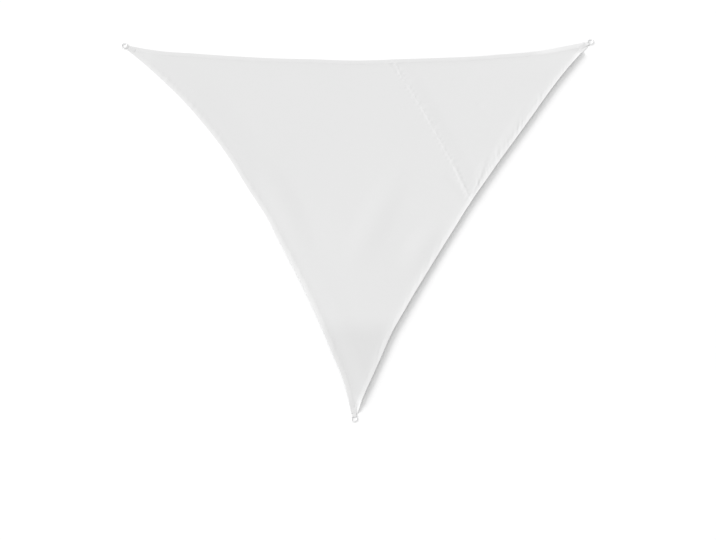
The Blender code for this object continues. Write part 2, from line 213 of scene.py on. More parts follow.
HEM_PROFILE = (
    # inset, height over the underside
    (0.0301, 0.00100), (0.0300, 0.00160), (0.0296, 0.00195), (0.0287, 0.00212),
    (0.0277, 0.00200), (0.0268, 0.00175), (0.0259, 0.00195), (0.0245, 0.00222),
    (0.0210, 0.00238), (0.0160, 0.00244), (0.0110, 0.00244), (0.0060, 0.00238),
    (0.0028, 0.00218), (0.0011, 0.00185), (0.0002, 0.00140), (0.0000, 0.00090),
    (0.0005, 0.00045), (0.0018, 0.00012), (0.0060, 0.00000), (0.0150, 0.00000),
    (0.0290, 0.00006), (0.0300, 0.00040),
)

HEM_LOWER_FACE = 0.0006            # the profile belongs to it up to this height
HEM_UPPER_FACE = 0.0016            # and to the upper face from this one on

# Stitches
STITCH_LENGTH = 0.0034
STITCH_PITCH = 0.0042
THREAD_RADIUS = 0.00034
THREAD_SIDES = 5
LOOK_AHEAD = 1e-4                  # share of a row, to find its heading
HEM_STITCH_ROW = 0.0268            # inset of the dip in the hem's profile
HEM_STITCH_HEIGHT = 0.00180
HEM_STITCH_LIMIT = 0.006           # the row ends with the line that lies this much further in
SEAM_STITCH_ROWS = (0.0030, 0.0090)
SEAM_STITCH_LIMIT = 0.004          # its rows end this far from the hems
STITCH_BOX_START = 0.040           # the box on each strap, from its ring centre
STITCH_BOX_END = 0.065
STITCH_BOX_WIDTH = 0.018

# Strap and ring
WIRE_HEIGHT = WEBBING_THICKNESS + GAP + WIRE_RADIUS
UPPER_LEG = 0.0032                 # height of the leg that lies on the cloth
LEG_STEPS = 30
BEND_STEPS = 14
WRAP_STEPS = 25
WEBBING_COLUMNS = 33
WEBBING_TAPER = 0.010              # its sealed ends get thin over this length
WEBBING_THIN = 0.35                # share of the thickness left there
WEBBING_ROUNDING = 0.06            # share of its half width
WEBBING_GROOVE = 0.12              # share of the thickness
RING_COLUMNS = 120
WIRE_ROWS = 28
WELD_TURN = math.radians(200)
WELD_LENGTH = 0.0028
WELD_RISE = 0.10
WELD_SKEW = 0.3

# Materials
CLOTH_COLOUR = (0.704, 0.704, 0.704)
HEM_COLOUR = (0.712, 0.712, 0.712)
THREAD_COLOUR = (0.78, 0.78, 0.78)
STEEL_COLOUR = (0.93, 0.93, 0.935)
CLOTH_UNEVEN = (0.996, 1.004)
WEAVE_PERIOD = 0.0012
RIB_PERIOD = 0.0016
# Painted shade: the cloth and the hems get darker towards the foot, standing in for shade that falls
# there.
FOOT_PAINTED_SHADE = (
    # axis, start, full, factor
    ("Y", -0.60, -0.78, 0.940),
)
# Painted light on the hems: the top hem is lighter towards the right ring, and the right hem is lighter
# near the right ring and beside the foot's strap, standing in for light on their slopes. The left and
# right hems also carry the painted shade towards the foot.
HEM_PAINTED_LIGHT_AND_SHADE = {
    "top": (("X", 1.10, 1.22, 1.08),),
    "left": FOOT_PAINTED_SHADE,
    "right": (*FOOT_PAINTED_SHADE, ("X", 1.37, 1.43, 1.07), ("Y", -1.12, -1.20, 1.07)),
}

# Studio: the floor, the total light on it, the key light's share and where that stands
FLOOR_COLOUR = (0.92, 0.92, 0.92)
FLOOR_REACH = 200.0
FLOOR_DROP = 0.0002
TOTAL_LIGHT = 1.13
KEY_SHARE = 0.26
KEY_ELEVATION = math.radians(30.5)
KEY_AZIMUTH = math.radians(165)
KEY_SPREAD = math.radians(33)

# Camera of the photograph
LENS = 200.0
SENSOR = 36.0
ELEVATION = math.radians(66.15)
DISTANCE = 24.9697
TARGET = Vector((0.00386, -0.29736, 0.0))
VIEW_RANGE = 200.0


# ---------------------------------------------------------------- plan


def plan_corners():
    """Ring centres in plan, around the middle of their bounding box."""
    right = TOP_SIDE * np.array([math.cos(TOP_TURN), math.sin(TOP_TURN)])
    cosine = (TOP_SIDE ** 2 + LEFT_SIDE ** 2 - RIGHT_SIDE ** 2) / (2 * TOP_SIDE * LEFT_SIDE)
    turn = TOP_TURN - math.acos(cosine)
    foot = LEFT_SIDE * np.array([math.cos(turn), math.sin(turn)])
    places = np.array([(0.0, 0.0), right, foot])
    places = places - (places.min(axis=0) + places.max(axis=0)) / 2
    return dict(zip(("left", "right", "foot"), places))


CORNERS = plan_corners()
SIDES = {"top": ("left", "right"), "left": ("left", "foot"), "right": ("right", "foot")}
CORNER_EDGES = {"left": ("top", "left"), "right": ("top", "right"), "foot": ("left", "right")}


def side_frame(edge):
    """Start, direction, inward normal and length of the straight line behind an edge."""
    first, last = (CORNERS[name] for name in SIDES[edge])
    length = np.linalg.norm(last - first)
    along = (last - first) / length
    inward = np.array([-along[1], along[0]])
    if np.dot(sum(CORNERS.values()) / 3 - first, inward) < 0:
        inward = -inward
    return first - CORNER_SPREAD * inward, along, inward, length


FRAMES = {edge: side_frame(edge) for edge in SIDES}


def edge_depth(edge, share):
    """Depth of the cloth's edge inside its side, and its slope along the side."""
    depth, slope = 0.0, 0.0
    for count, height in enumerate(EDGE_ARCS[edge], start=1):
        rate = count * math.pi
        depth = depth + height * np.sin(rate * share)
        slope = slope + height * rate * np.cos(rate * share)
    for bent_edge, middle, reach, height in EDGE_BENDS:
        if bent_edge == edge:
            turn = np.clip((share - middle) / reach, -1, 1) * math.pi
            depth = depth + height * (1 + np.cos(turn)) / 2
            slope = slope - height * math.pi / (2 * reach) * np.sin(turn)
    return depth, slope / FRAMES[edge][3]


def edge_point(edge, share, inset=0.0):
    """Points at shares of a side, at an inset from the cloth's edge."""
    start, along, inward, length = FRAMES[edge]
    depth, slope = edge_depth(edge, share)
    share = np.asarray(share)[..., None]
    reach = np.asarray(depth + inset * np.hypot(1, slope))[..., None]
    return start + along * share * length + inward * reach


def edge_inset(edge, x, y):
    """Inset of points from a cloth edge, and their share of its side."""
    start, along, inward, length = FRAMES[edge]
    share = ((x - start[0]) * along[0] + (y - start[1]) * along[1]) / length
    offset = (x - start[0]) * inward[0] + (y - start[1]) * inward[1]
    depth, slope = edge_depth(edge, share)
    return (offset - depth) / np.hypot(1, slope), share


def nearest_inset(x, y):
    """Inset of points from the nearest of the three edges."""
    return np.min([edge_inset(edge, x, y)[0] for edge in SIDES], axis=0)


def ring_distance(x, y):
    """Distance of points from the nearest ring centre."""
    return np.min([np.hypot(x - c[0], y - c[1]) for c in CORNERS.values()], axis=0)


def seam_point(share, offset):
    """Points along the seam, at an offset from its visible line towards the right ring."""
    shift = offset / (math.sin(SEAM_ANGLE) * TOP_SIDE)
    first = edge_point("top", SEAM_ON_TOP + shift)
    last = edge_point("right", SEAM_ON_RIGHT - shift)
    across = np.array([first[1] - last[1], last[0] - first[0]])
    share = np.asarray(share)[..., None]
    bow = SEAM_BOW * np.sin(math.pi * share) / np.linalg.norm(across)
    return first + (last - first) * share + across * bow


SEAM_START = seam_point(0.0, 0.0)
SEAM_RUN = seam_point(1.0, 0.0) - SEAM_START
SEAM_LENGTH = np.linalg.norm(SEAM_RUN)


def seam_offset(x, y):
    """Offset of points from the visible seam line towards the right ring, and their share."""
    along = SEAM_RUN / SEAM_LENGTH
    share = ((x - SEAM_START[0]) * along[0] + (y - SEAM_START[1]) * along[1]) / SEAM_LENGTH
    offset = (y - SEAM_START[1]) * along[0] - (x - SEAM_START[0]) * along[1]
    return offset - SEAM_BOW * np.sin(math.pi * np.clip(share, 0, 1)), share


def tip_frame(corner):
    """Ring centre, and the unit vector from it that halves the cloth's corner."""
    centre = CORNERS[corner]
    total = np.zeros(2)
    for edge in CORNER_EDGES[corner]:
        near = TIP_DISTANCE / FRAMES[edge][3]
        aim = edge_point(edge, near if SIDES[edge][0] == corner else 1 - near) - centre
        total = total + aim / np.linalg.norm(aim)
    return centre, total / np.linalg.norm(total)


TIPS = {corner: tip_frame(corner) for corner in CORNERS}


# ---------------------------------------------------------------- heights


def smooth(value, low, high):
    """0 below low, 1 above high and a smooth step between."""
    step = np.clip((value - low) / (high - low), 0, 1)
    return step * step * (3 - 2 * step)


def plateau(value, start, full, fading, end):
    """0 outside start and end, 1 from full to fading and smooth steps between."""
    return smooth(value, start, full) * (1 - smooth(value, fading, end))


def swell_height(x, y, centre_x, centre_y, half_length, half_width, degrees, height):
    """A long soft rise that ends level all round."""
    turn = math.radians(degrees)
    along = (x - centre_x) * math.cos(turn) + (y - centre_y) * math.sin(turn)
    across = (y - centre_y) * math.cos(turn) - (x - centre_x) * math.sin(turn)
    reach = np.clip(np.hypot(along / half_length, across / half_width), 0, 1)
    return height * np.cos(reach * math.pi / 2) ** 2


def crease_height(x, y, start_x, start_y, end_x, end_y, half_width, bow, height):
    """A soft narrow ridge, or a trough where its height is negative, with thin ends."""
    length = math.hypot(end_x - start_x, end_y - start_y)
    along_x, along_y = (end_x - start_x) / length, (end_y - start_y) / length
    share = ((x - start_x) * along_x + (y - start_y) * along_y) / length
    across = (y - start_y) * along_x - (x - start_x) * along_y
    inside = np.sin(np.clip(share, 0, 1) * math.pi)
    reach = np.clip(np.abs(across - bow * inside) / half_width, 0, 1)
    return height * np.sqrt(inside) * np.cos(reach * math.pi / 2) ** 2


def ripple_height(x, y, edge, first, last, degrees, wave_length, height, reach):
    """Small uneven waves that the sewing draws across a hem and a little way in."""
    inset, share = edge_inset(edge, x, y)
    turn = math.radians(degrees)
    place = (y * math.cos(turn) - x * math.sin(turn)) / wave_length * 2 * math.pi
    ahead = np.sin(place * RIPPLE_DRIFT_RATE + 1.0)
    wave, total = 0.0, 0.0
    for strength, rate, phase, drift in RIPPLE_WAVES:
        wave = wave + strength * np.sin(place * rate + phase + drift * ahead)
        total += strength
    sway = 1 - RIPPLE_SWAY + RIPPLE_SWAY * np.sin(place * RIPPLE_SWAY_RATE + 2.0)
    run = (last - first) * RIPPLE_RUNOUT
    ends = plateau(share, first, first + run, last - run, last)
    fade = RIPPLE_AT_RIM + (1 - RIPPLE_AT_RIM) * smooth(inset, 0.0, RIPPLE_FULL)
    fade = fade * (1 - smooth(inset, reach / 2, reach))
    return height * sway * ends * fade * (1 + wave / total) / 2


def seam_height(x, y):
    """A low broken ridge along the seam, and the puckers that its sewing draws beside it."""
    offset, share = seam_offset(x, y)
    place = 2 * math.pi * share * SEAM_LENGTH / PUCKER_LENGTH
    wave = np.sin(place + PUCKER_DRIFT * np.sin(place * PUCKER_DRIFT_RATE))
    beside = wave * np.sign(offset) * plateau(np.abs(offset), *PUCKERS_BESIDE)
    ridge = plateau(offset, *RIDGE_ACROSS)
    rise = 0.0
    for first, last, height, pucker in SEAM_PULLS:
        inside = plateau(share, first - PULL_OUTSIDE, first + PULL_INSIDE,
                         last - PULL_INSIDE, last + PULL_OUTSIDE)
        rise = rise + inside * (height * ridge + pucker * beside)
    return rise


def underside(x, y):
    """Underside of the cloth: lifted edge, swells, creases and the rise onto the webbing."""
    inset, share = edge_inset("right", x, y)
    inset = np.maximum(inset, 0)
    others = np.minimum(edge_inset("top", x, y)[0], edge_inset("left", x, y)[0])
    sink = SINK_SHARE * (1 - smooth(others, 0, SINK_REACH))
    rise = LIFT_HEIGHT * np.clip(1 - inset / LIFT_REACH, 0, 1) ** 2 * (1 - sink)
    rise = rise + CURL_HEIGHT * np.clip(1 - inset / CURL_REACH, 0, 1) ** 2
    rim = np.clip(1 - inset / RIM_REACH, 0, 1) ** 2 * (1 - smooth(share, *RIM_FADE))
    rise = rise + RIM_HEIGHT * rim
    inset, share = edge_inset("left", x, y)
    puff = np.sin(np.clip(inset / PUFF_WIDTH, 0, 1) * math.pi / 2)
    puff = puff * (1 - smooth(inset, PUFF_WIDTH, PUFF_REACH))
    rise = rise + PUFF_HEIGHT * puff * (1 - PUFF_LOSS * smooth(share, *PUFF_FADE))
    for swell in SWELLS:
        rise = rise + swell_height(x, y, *swell)
    for crease in CREASES:
        rise = rise + crease_height(x, y, *crease)
    for ripple in RIPPLES:
        rise = rise + ripple_height(x, y, *ripple)
    rise = rise + seam_height(x, y)
    distance = ring_distance(x, y)
    spread = np.clip(edge_inset("right", x, y)[0], 0, RISE_SPREAD)
    lifted = smooth(distance, RISE_START, RISE_FULL + spread)
    curl = TIP_CURL * np.clip(1 - spread / TIP_CURL_REACH, 0, 1) ** 2 * (y < 0)
    curl = curl * smooth(distance, *TIP_CURL_RISE)
    on_webbing = (WEBBING_THICKNESS + GAP) * (1 - smooth(distance, TIP_FLAT, TIP_RUNOUT))
    return np.maximum(rise, 0) * lifted + curl * (1 - lifted) + on_webbing


def over_lap(offset):
    """1 up to the far side of the lap, running out to 0 beyond it."""
    return 1 - smooth(offset, SEAM_LAP * 1.1, SEAM_LAP + SEAM_RUNOUT)


def in_hem(x, y):
    """1 inside the hem, running out to 0 a little way in."""
    return 1 - smooth(nearest_inset(x, y), HEM_WIDTH - 0.001, 2 * HEM_WIDTH)


def pressed(x, y):
    """Share of its thickness that the cloth keeps: less under the straps."""
    return 1 - TIP_PRESS * (1 - smooth(ring_distance(x, y), TIP_FLAT, TIP_RUNOUT))


def main_bottom(x, y):
    return underside(x, y) + pressed(x, y) * (GAP + HEM_LIFT * in_hem(x, y))


def main_top(x, y):
    return main_bottom(x, y) + pressed(x, y) * CLOTH_THICKNESS


def corner_bottom(x, y):
    return main_bottom(x, y) + over_lap(seam_offset(x, y)[0]) * (CLOTH_THICKNESS + GAP)


def corner_top(x, y):
    offset = seam_offset(x, y)[0]
    fold = 1 - smooth(offset, SEAM_FOLD, SEAM_FOLD + SEAM_FOLD_RUNOUT)
    rim = np.sqrt(1 - (1 - np.clip(offset / SEAM_ROUNDING, 0, 1)) ** 2)
    return corner_bottom(x, y) + pressed(x, y) * CLOTH_THICKNESS + SEAM_FOLD_RISE * fold * rim


# ---------------------------------------------------------------- lines


def bisect(low, high, is_low):
    """Value between low and high at which is_low turns false."""
    for _ in range(40):
        middle = (low + high) / 2
        if is_low(middle):
            low = middle
        else:
            high = middle
    return (low + high) / 2


def tip_share(edge, corner, inset):
    """Share of a side at which an edge's line ends at a corner: on the cut tip or the mitre."""
    centre, axis = TIPS[corner]
    other = next(name for name in CORNER_EDGES[corner] if name != edge)

    def place(near):
        return near if SIDES[edge][0] == corner else 1 - near

    def is_outside(near):
        point = edge_point(edge, place(near), inset)
        on_cut = np.dot(point - centre, axis) < TIP_DISTANCE
        return on_cut or edge_inset(other, *point)[0] < inset

    return place(bisect(0.0, 0.1, is_outside))


def seam_share(edge, inset, offset):
    """Share of the seam at which one of its lines lies an inset inside an edge."""
    if inset == 0:
        return 0.0 if edge == "top" else 1.0

    def is_before(share):
        is_outside = edge_inset(edge, *seam_point(share, offset))[0] < inset
        return is_outside == (edge == "top")

    return bisect(0.0, 1.0, is_before)


def edge_row(edge, ends, inset, offset):
    """Points along an edge between two corners, or a corner and the seam."""
    shares = []
    for end in ends:
        if end == "seam":
            point = seam_point(seam_share(edge, inset, offset), offset)
            shares.append(edge_inset(edge, *point)[1])
        else:
            shares.append(tip_share(edge, end, inset))
    count = max(2, round(abs(shares[1] - shares[0]) * FRAMES[edge][3] / EDGE_STEP))
    return edge_point(edge, np.linspace(*shares, count + 1), inset)


def seam_row(offset, rim):
    """Points along a seam line between the rims at the top and the right edge."""
    low, high = (seam_share(edge, rim, offset) for edge in ("top", "right"))
    length = np.linalg.norm(seam_point(1.0, offset) - seam_point(0.0, offset))
    count = round((high - low) * length / EDGE_STEP)
    return seam_point(np.linspace(low, high, count + 1), offset)


def grid_points(step):
    """Points of a triangular grid over the sail."""
    low = np.min(list(CORNERS.values()), axis=0)
    high = np.max(list(CORNERS.values()), axis=0)
    row_step = step * math.sqrt(3) / 2
    rows = np.arange(math.ceil((high[1] - low[1]) / row_step))
    columns = np.arange(math.ceil((high[0] - low[0]) / step))
    column, row = np.meshgrid(columns, rows)
    x = low[0] + (column + (row % 2) / 2) * step
    y = low[1] + row * row_step
    return x.ravel(), y.ravel()


def inner_points(keep):
    """Points inside a panel, closer together in the fine zones, where keep accepts them."""
    def from_zone(x, y):
        return np.min([np.hypot(x - centre_x, y - centre_y) - radius
                       for centre_x, centre_y, radius in FINE_ZONES], axis=0)

    coarse, fine = grid_points(CLOTH_STEP), grid_points(FINE_STEP)
    coarse = np.column_stack(coarse)[keep(*coarse) & (from_zone(*coarse) > 0)]
    fine = np.column_stack(fine)[keep(*fine) & (from_zone(*fine) < -FINE_STEP / 2)]
    return np.concatenate([coarse, fine])


# ---------------------------------------------------------------- meshes


def new_piece(name, points, faces, material):
    """New smooth piece from points and faces, riding on the one body."""
    mesh = bpy.data.meshes.new(name)
    mesh.from_pydata(points, [], faces)
    mesh.validate()
    mesh.shade_smooth()
    mesh.materials.append(material)
    piece = bpy.data.objects.new(name, mesh)
    bpy.context.scene.collection.objects.link(piece)
    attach(piece, "root")
    return piece


def sheet_piece(name, outline, rows, points, bottom, top, material):
    """Closed thin sheet from an outline, the rows that its mesh follows and loose points."""
    vertices = [tuple(point) for point in outline]
    edges = []
    for row in rows:
        start = len(vertices)
        vertices += [tuple(point) for point in row]
        edges += [(start + i, start + i + 1) for i in range(len(row) - 1)]
    vertices += [tuple(point) for point in points]
    face = list(range(len(outline)))
    plan, _, triangles, *_ = delaunay_2d_cdt(
        [Vector(v) for v in vertices], edges, [face], 1, MERGE_DISTANCE)
    x, y = np.array([tuple(point) for point in plan]).T
    used = np.unique(np.array(triangles))
    index = np.full(len(x), -1)
    index[used] = np.arange(len(used))
    x, y = x[used], y[used]
    upper = index[np.array(triangles)]
    lower = upper[:, ::-1] + len(used)
    sides = {}
    for a, b in np.concatenate([upper[:, [0, 1]], upper[:, [1, 2]], upper[:, [2, 0]]]):
        if sides.pop((b, a), None) is None:
            sides[(a, b)] = True
    count = len(used)
    rim = [(a, a + count, b + count, b) for a, b in sides]
    high, low = top(x, y), bottom(x, y)
    points = np.concatenate([np.column_stack([x, y, high]), np.column_stack([x, y, low])])
    faces = [*upper.tolist(), *lower.tolist(), *rim]
    return new_piece(name, points.tolist(), faces, material)


def loop_faces(rows, columns):
    """Quads between neighbouring columns of closed loops, each of as many points as rows."""
    i, j = np.meshgrid(np.arange(columns - 1), np.arange(rows), indexing="ij")
    following = (j + 1) % rows
    quads = np.stack([i * rows + j, i * rows + following,
                      (i + 1) * rows + following, (i + 1) * rows + j], axis=-1)
    return quads.reshape(-1, 4).tolist()


def swept_piece(name, loops, material, is_ring=False):
    """Closed piece from loops of points, one after another along it or all round a ring."""
    columns, rows = loops.shape[:2]
    faces = loop_faces(rows, columns)
    if is_ring:
        last = (columns - 1) * rows
        faces += [[last + i, last + (i + 1) % rows, (i + 1) % rows, i] for i in range(rows)]
    else:
        faces.append(list(range(rows - 1, -1, -1)))
        faces.append([(columns - 1) * rows + i for i in range(rows)])
    piece = new_piece(name, loops.reshape(-1, 3).tolist(), faces, material)
    bm = bmesh.new()
    bm.from_mesh(piece.data)
    bmesh.ops.recalc_face_normals(bm, faces=bm.faces)
    bm.to_mesh(piece.data)
    bm.free()
    return piece


def stitches(name, places, heights, aims):
    """One mesh of short arched stitches at places in plan, each along its aim."""
    girth = THREAD_RADIUS * np.array([0.55, 0.95, 1.0, 0.95, 0.55])
    arch = THREAD_RADIUS * np.array([-1.1, 0.1, 0.45, 0.1, -1.1])
    along = np.linspace(-0.5, 0.5, len(girth)) * STITCH_LENGTH
    angle = np.arange(THREAD_SIDES) * 2 * math.pi / THREAD_SIDES
    local = np.array([(a, g * math.cos(t), h + g * math.sin(t))
                      for a, g, h in zip(along, girth, arch) for t in angle])
    first_end = list(range(THREAD_SIDES))
    last_end = [len(local) - THREAD_SIDES + i for i in first_end]
    faces = [*loop_faces(THREAD_SIDES, len(girth)), first_end[::-1], last_end]
    heading = np.arctan2(aims[:, 1:], aims[:, :1])
    x = places[:, :1] + local[:, 0] * np.cos(heading) - local[:, 1] * np.sin(heading)
    y = places[:, 1:] + local[:, 0] * np.sin(heading) + local[:, 1] * np.cos(heading)
    z = heights[:, None] + local[:, 2]
    points = np.stack([x, y, z], axis=-1).reshape(-1, 3)
    all_faces = [[v + k * len(local) for v in face]
                 for k in range(len(places)) for face in faces]
    piece = new_piece(name, points.tolist(), all_faces, thread)
    return piece


# ---------------------------------------------------------------- materials


def new_material(name, colour, roughness, metallic=0.0, sheen=0.0):
    """Principled material of one colour and roughness all over."""
    material = bpy.data.materials.new(name)
    material.use_nodes = True
    tree = material.node_tree
    shader = tree.nodes["Principled BSDF"]
    shader.inputs["Base Color"].default_value = (*colour, 1)
    shader.inputs["Roughness"].default_value = roughness
    shader.inputs["Metallic"].default_value = metallic
    shader.inputs["Sheen Weight"].default_value = sheen
    return material


def node_link(tree, node, output, other, socket):
    """Link an output of one node to a socket of another."""
    tree.links.new(node.outputs[output], other.inputs[socket])


def object_mapping(tree, heading, scale):
    """Object coordinates turned so that their X lies along a heading, and scaled."""
    place = tree.nodes.new("ShaderNodeTexCoord")
    mapping = tree.nodes.new("ShaderNodeMapping")
    mapping.inputs["Rotation"].default_value = (0, 0, -heading)
    mapping.inputs["Scale"].default_value = scale
    node_link(tree, place, "Object", mapping, "Vector")
    return mapping


def math_node(tree, operation, first, second):
    """Math node on two sockets or numbers."""
    node = tree.nodes.new("ShaderNodeMath")
    node.operation = operation
    for socket, value in zip(node.inputs, (first, second)):
        if isinstance(value, bpy.types.NodeSocket):
            tree.links.new(value, socket)
        else:
            socket.default_value = value
    return node.outputs[0]


def wave_height(tree, mapping, direction, period):
    """Sine wave of a period in metres along one direction of mapped coordinates."""
    wave = tree.nodes.new("ShaderNodeTexWave")
    wave.bands_direction = direction
    wave.inputs["Scale"].default_value = math.pi / (10 * period)
    node_link(tree, mapping, "Vector", wave, "Vector")
    return wave.outputs["Fac"]


def noise_value(tree, mapping, scale, detail):
    """Soft noise from 0 to 1 in mapped coordinates."""
    noise = tree.nodes.new("ShaderNodeTexNoise")
    noise.inputs["Scale"].default_value = scale
    noise.inputs["Detail"].default_value = detail
    node_link(tree, mapping, "Vector", noise, "Vector")
    return noise.outputs["Fac"]


def remapped(tree, value, source, target):
    """Value moved smoothly from its source range to a target range."""
    node = tree.nodes.new("ShaderNodeMapRange")
    node.interpolation_type = "SMOOTHSTEP"
    tree.links.new(value, node.inputs["Value"])
    for name, number in zip(("From Min", "From Max", "To Min", "To Max"), (*source, *target)):
        node.inputs[name].default_value = number
    return node.outputs["Result"]


def add_bump(tree, height, strength, distance):
    """Bump on the shader's normal."""
    bump = tree.nodes.new("ShaderNodeBump")
    bump.inputs["Strength"].default_value = strength
    bump.inputs["Distance"].default_value = distance
    tree.links.new(height, bump.inputs["Height"])
    node_link(tree, bump, "Normal", tree.nodes["Principled BSDF"], "Normal")


def tint_colour(tree, colour, tint):
    """Base colour times a tint socket."""
    shader = tree.nodes["Principled BSDF"]
    mix = tree.nodes.new("ShaderNodeVectorMath")
    mix.operation = "SCALE"
    mix.inputs[0].default_value = colour
    tree.links.new(tint, mix.inputs["Scale"])
    node_link(tree, mix, "Vector", shader, "Base Color")


def cloth_material(name, colour, heading, painted_light_and_shade=()):
    """Plain weave along a heading, a little uneven, with painted light and shade that set in along an
    axis.

    Each painted zone is an axis, where it starts and is full, and its factor.
    """
    material = new_material(name, colour, 0.85, sheen=0.10)
    tree = material.node_tree
    shader = tree.nodes["Principled BSDF"]
    shader.inputs["Sheen Roughness"].default_value = 0.5
    weave = object_mapping(tree, heading, (1, 1, 1))
    warp = wave_height(tree, weave, "X", WEAVE_PERIOD)
    weft = wave_height(tree, weave, "Y", WEAVE_PERIOD)
    slubs = noise_value(tree, object_mapping(tree, heading, (9, 220, 1)), 1.0, 2.0)
    threads = math_node(tree, "ADD", math_node(tree, "MULTIPLY", warp, weft), slubs)
    add_bump(tree, threads, 0.12, 0.0002)
    cloudy = noise_value(tree, weave, 2.2, 3.0)
    tint = math_node(tree, "MULTIPLY", remapped(tree, cloudy, (0.2, 0.8), CLOTH_UNEVEN),
                     remapped(tree, slubs, (0.2, 0.8), CLOTH_UNEVEN))
    # Painted light and shade: each zone lightens or darkens the colour along an axis, on top of the
    # cloth's own uneven tone.
    for axis, start, full, factor in painted_light_and_shade:
        place = tree.nodes.new("ShaderNodeSeparateXYZ")
        tree.links.new(weave.inputs["Vector"].links[0].from_socket, place.inputs[0])
        ends = (1, factor) if start < full else (factor, 1)
        painted_zone = remapped(tree, place.outputs[axis], sorted((start, full)), ends)
        tint = math_node(tree, "MULTIPLY", tint, painted_zone)
    tint_colour(tree, colour, tint)
    rough = remapped(tree, cloudy, (0.2, 0.8), (0.80, 0.90))
    tree.links.new(rough, shader.inputs["Roughness"])
    return material


def strap_material(name, colour, heading):
    """Twilled webbing along a heading."""
    material = new_material(name, colour, 0.75, sheen=0.15)
    tree = material.node_tree
    strap = object_mapping(tree, heading, (1, 1, 1))
    twill = object_mapping(tree, heading + math.radians(35), (1, 1, 1))
    ribs = math_node(tree, "ADD", wave_height(tree, strap, "X", RIB_PERIOD),
                     wave_height(tree, twill, "Y", RIB_PERIOD))
    add_bump(tree, ribs, 0.35, 0.0003)
    tint_colour(tree, colour, remapped(tree, ribs, (0.2, 1.8), (0.97, 1.02)))
    return material


def steel_material(name):
    """Satin steel with fine wear and a few cloudy spots."""
    material = new_material(name, STEEL_COLOUR, 0.30, metallic=0.9)
    tree = material.node_tree
    place = object_mapping(tree, 0.0, (1, 1, 1))
    cloudy = noise_value(tree, place, 160.0, 3.0)
    scratches = noise_value(tree, object_mapping(tree, 0.4, (300, 2400, 900)), 1.0, 2.0)
    tree.links.new(remapped(tree, cloudy, (0.3, 0.7), (0.24, 0.38)),
                   tree.nodes["Principled BSDF"].inputs["Roughness"])
    tint_colour(tree, STEEL_COLOUR, remapped(tree, cloudy, (0.3, 0.7), (0.96, 1.02)))
    add_bump(tree, scratches, 0.08, 0.0001)
    return material


def thread_material(name, colour):
    """Twisted sewing thread."""
    material = new_material(name, colour, 0.6, sheen=0.2)
    tree = material.node_tree
    plies = noise_value(tree, object_mapping(tree, 0.0, (1, 1, 1)), 2600.0, 2.0)
    add_bump(tree, plies, 0.4, 0.0001)
    tint_colour(tree, colour, remapped(tree, plies, (0.3, 0.7), (0.95, 1.03)))
    return material


# ---------------------------------------------------------------- build


WEAVE_HEADING = math.atan2(SEAM_RUN[1], SEAM_RUN[0])

# The sheets' material carries the painted shade towards the foot, the hems' materials carry painted
# light and shade.
cloth = cloth_material("cloth_weave_painted_shade", CLOTH_COLOUR, WEAVE_HEADING, FOOT_PAINTED_SHADE)
hem_cloth = {edge: cloth_material(f"hem_weave_painted_light_and_shade_{edge}", HEM_COLOUR, WEAVE_HEADING, painted_light_and_shade)
             for edge, painted_light_and_shade in HEM_PAINTED_LIGHT_AND_SHADE.items()}
strap_cloth = {corner: strap_material(f"strap_weave_{corner}", HEM_COLOUR,
                                      math.atan2(TIPS[corner][1][1], TIPS[corner][1][0]))
               for corner in CORNERS}
thread = thread_material("sewing_thread", THREAD_COLOUR)
steel = steel_material("ring_steel")


def make_sheet(name, node, outline, ends, offset, seam_rows, is_beyond, bottom, top):
    """Sheet of one panel, with rows along its hems and its seam and loose points between."""
    rows = [edge_row(edge, pair, inset, offset)
            for edge, pair in ends.items() for inset in SHEET_ROWS[1:]]
    rows += [seam_row(row, SHEET_ROWS[-1] + ROW_CLEARANCE) for row in seam_rows]

    def keep(x, y):
        return (nearest_inset(x, y) > SHEET_ROWS[-1] + HEM_CLEARANCE) & is_beyond(seam_offset(x, y)[0])

    sheet = sheet_piece(name, outline, rows, inner_points(keep), bottom, top, cloth)
    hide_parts(node)
    return sheet


def make_main_sheet():
    rim = SHEET_ROWS[0]
    ends = {"top": ("left", "seam"), "left": ("left", "foot"), "right": ("seam", "foot")}
    runs = {edge: edge_row(edge, pair, rim, SEAM_LAP) for edge, pair in ends.items()}
    outline = [*runs["top"], *seam_row(SEAM_LAP, rim)[1:-1], *runs["right"], *runs["left"][::-1]]

    def is_beyond(offset):
        return offset < MAIN_SEAM_ROWS[-1] - SEAM_CLEARANCE

    return make_sheet("cloth_main", "panel_main", outline, ends, SEAM_LAP, MAIN_SEAM_ROWS,
                      is_beyond, main_bottom, main_top)


def make_corner_sheet():
    rim = SHEET_ROWS[0]
    ends = {"top": ("seam", "right"), "right": ("right", "seam")}
    runs = {edge: edge_row(edge, pair, rim, 0.0) for edge, pair in ends.items()}
    outline = [*runs["top"], *runs["right"], *seam_row(0.0, rim)[-2:0:-1]]

    def is_beyond(offset):
        return offset > SEAM_ROWS[-1] + SEAM_CLEARANCE

    return make_sheet("cloth_corner", "panel_corner", outline, ends, 0.0, SEAM_ROWS[1:],
                      is_beyond, corner_bottom, corner_top)


def hem_top(x, y):
    """Extra height of the hem where the seam runs through it."""
    offset = seam_offset(x, y)[0]
    lap = over_lap(offset) * smooth(offset, -0.004, 0.0)
    return lap * (CLOTH_THICKNESS + GAP + SEAM_FOLD_RISE)


